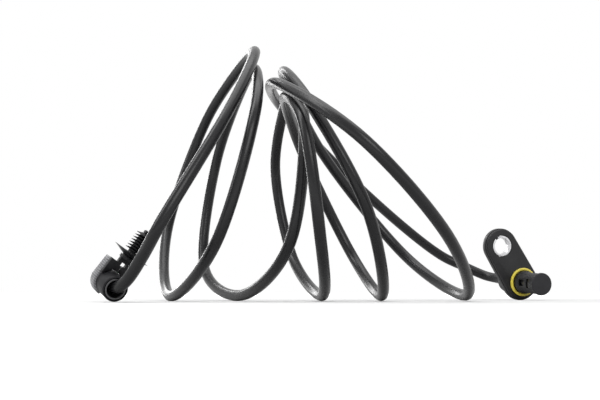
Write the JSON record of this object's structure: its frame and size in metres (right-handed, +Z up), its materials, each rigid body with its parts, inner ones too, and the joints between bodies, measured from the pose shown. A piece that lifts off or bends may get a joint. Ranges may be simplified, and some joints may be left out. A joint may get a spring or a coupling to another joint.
{
  "type": "wheel speed sensor",
  "caption": "Wheel speed sensor: obround flange with bushed bolt hole, round probe with seal, long coiled lead, angled plug and fir-tree clip.",
  "frame": {"origin": "centre of the sensor head's box, on the surface that it stands on", "axes": "+Z up, -Y towards the viewer and roughly along the probe to its tip, +X to the right; the lead's coil and the plug lie on the -X side"},
  "size_m": [0.2101, 0.1713, 0.1178],
  "materials": {
    "housing_plastic": "fine matt moulding, slightly mottled",
    "bush_steel": "rolled and plated",
    "seal_yellow": "smooth moulded seal",
    "carrier_plastic": "plain moulding",
    "chip_plastic": "moulded package",
    "magnet_steel": "plated",
    "capacitor_body": "dipped",
    "terminal_brass": "stamped, tinned",
    "crimp_steel": "drawn ring",
    "boot_rubber": "matt rubber",
    "cable_jacket": "extruded jacket, soft sheen",
    "drum_rubber": "smooth moulded drum, soft sheen",
    "plug_plastic": "matt moulding",
    "shell_grey": "light grey ribbed moulding",
    "seal_green": "smooth moulded seal"
  },
  "bodies": {
    "root": {"sensor_housing": "housing_plastic", "probe_end_cap": "housing_plastic", "bush_sleeve": "bush_steel", "o_ring": "seal_yellow", "element_carrier": "carrier_plastic", "sensing_chip": "chip_plastic", "bias_magnet": "magnet_steel", "capacitor": "capacitor_body", "terminal_strip_left": "terminal_brass", "terminal_strip_right": "terminal_brass", "crimp_ring": "crimp_steel", "cable_boot": "boot_rubber", "cable": "cable_jacket", "connector_boot": "drum_rubber", "boot_ring": "plug_plastic", "connector_bracket": "plug_plastic", "plug_shell": "shell_grey", "mating_seal": "seal_green", "terminal_front": "terminal_brass", "terminal_rear": "terminal_brass", "terminal_wedge": "shell_grey", "clip_fir_tree": "plug_plastic"}
  },
  "joints": []
}
